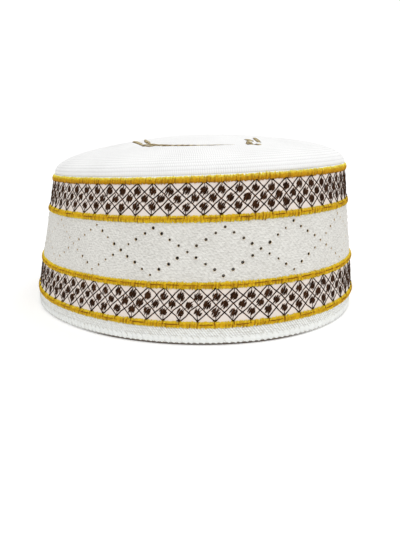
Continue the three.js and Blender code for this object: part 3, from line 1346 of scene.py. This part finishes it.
class CAP_OT_stage(bpy.types.Operator):
    """Set the pale floor, the soft light and the camera"""

    bl_idname = "cap.stage"
    bl_label = "Stage"

    def lay_floor(self, scene, stage):
        half = 4.0
        mesh = bpy.data.meshes.new("floor")
        corners = [(-half, -half, 0.0), (half, -half, 0.0), (half, half, 0.0), (-half, half, 0.0)]
        mesh.from_pydata(corners, [], [[0, 1, 2, 3]])
        material, shader = start_material("pale_floor", Roughness=0.9, Specular_IOR_Level=0.1)[:2]
        shader.inputs["Base Color"].default_value = tuple(stage.floor)
        shader.inputs["Emission Color"].default_value = WHITE
        shader.inputs["Emission Strength"].default_value = stage.floor_glow
        mesh.materials.append(material)
        floor = bpy.data.objects.new("floor", mesh)
        scene.collection.objects.link(floor)

    def light_room(self, scene, stage):
        """A white room that lights the cap softly and shows as a plain backdrop."""
        world = bpy.data.worlds.new("white_room")
        world.use_nodes = True
        wire = Wire(world.node_tree)
        room = wire.node("ShaderNodeBackground", {}, {"Color": WHITE, "Strength": stage.surround})
        backdrop = wire.node("ShaderNodeBackground", {}, {"Color": WHITE, "Strength": stage.backdrop})
        seen = wire.node("ShaderNodeLightPath").other("Is Camera Ray")
        mixed = wire.node("ShaderNodeMixShader", {}, {0: seen, 1: room, 2: backdrop})
        mixed.feed(world.node_tree.nodes["World Output"], "Surface")
        scene.world = world
        scene.view_settings.view_transform = "Standard"

    def hang_light(self, scene, name, strength, spread, place):
        light = bpy.data.lights.new(name, "SUN")
        light.energy = strength
        light.angle = spread
        holder = bpy.data.objects.new(name, light)
        holder.location = place
        holder.rotation_euler = Vector(place).to_track_quat("Z", "Y").to_euler()
        scene.collection.objects.link(holder)

    def stand_camera(self, scene, stage):
        data = bpy.data.cameras.new("photo_camera")
        data.lens = stage.lens
        data.sensor_width = 36.0
        camera = bpy.data.objects.new("photo_camera", data)
        turn = Matrix.Rotation(stage.heading, 4, "Z")
        turn = turn @ Matrix.Rotation(stage.tilt, 4, "X") @ Matrix.Rotation(stage.roll, 4, "Z")
        camera.matrix_world = Matrix.Translation(stage.camera_place) @ turn
        scene.collection.objects.link(camera)
        scene.camera = camera

    def execute(self, context):
        scene = context.scene
        stage = scene.cap_stage
        self.lay_floor(scene, stage)
        self.light_room(scene, stage)
        self.hang_light(scene, "front_light", stage.front_light, stage.light_spread, FRONT_LIGHT_PLACE)
        self.hang_light(scene, "back_light", stage.back_light, stage.light_spread, BACK_LIGHT_PLACE)
        self.stand_camera(scene, stage)
        return {"FINISHED"}


class CAP_PT_builder(bpy.types.Panel):
    """Lists the cap's pieces and settings"""

    bl_idname = "CAP_PT_builder"
    bl_label = "Embroidered cap"
    bl_space_type = "VIEW_3D"
    bl_region_type = "UI"
    bl_category = "Cap"

    def draw(self, context):
        for group in SETTINGS:
            box = self.layout.box()
            settings = getattr(context.scene, group)
            for name in settings.__annotations__:
                box.prop(settings, name)
        for operator in OPERATORS:
            self.layout.operator(operator.bl_idname)


SETTINGS = {
    "cap_cloth": CapClothSettings,
    "cap_threads": CapThreadSettings,
    "cap_stage": CapStageSettings,
}
OPERATORS = (
    CAP_OT_stage,
    CAP_OT_side_wall_cloth,
    CAP_OT_crown_cloth,
    CAP_OT_satin_borders,
    CAP_OT_border_lines,
    CAP_OT_lattice_nets,
    CAP_OT_satin_dots,
    CAP_OT_dot_stems,
    CAP_OT_rim_overcast,
    CAP_OT_crown_embroidery,
)


def register():
    for group in (*SETTINGS.values(), *OPERATORS, CAP_PT_builder):
        bpy.utils.register_class(group)
    for name, group in SETTINGS.items():
        setattr(bpy.types.Scene, name, bpy.props.PointerProperty(type=group))


def unregister():
    for name in SETTINGS:
        delattr(bpy.types.Scene, name)
    for group in reversed((*SETTINGS.values(), *OPERATORS, CAP_PT_builder)):
        bpy.utils.unregister_class(group)


def declare_cloth():
    """Lists the pieces of embroidery that the wall carries, and does nothing more with the list."""
    wall_work = [name.replace("border", "satin") for name in BORDERS] + ["border_lines", "rim_overcast"]
    for band in BANDS:
        wall_work += [f"{band}_lattice", f"{band}_dots", f"{band}_stems"]


def main():
    register()
    bpy.ops.cap.stage()
    bpy.ops.cap.side_wall_cloth()
    bpy.ops.cap.crown_cloth()
    bpy.ops.cap.satin_borders()
    bpy.ops.cap.border_lines()
    bpy.ops.cap.lattice_nets()
    bpy.ops.cap.satin_dots()
    bpy.ops.cap.dot_stems()
    bpy.ops.cap.rim_overcast()
    bpy.ops.cap.crown_embroidery()
    declare_cloth()


if __name__ == "__main__":
    main()
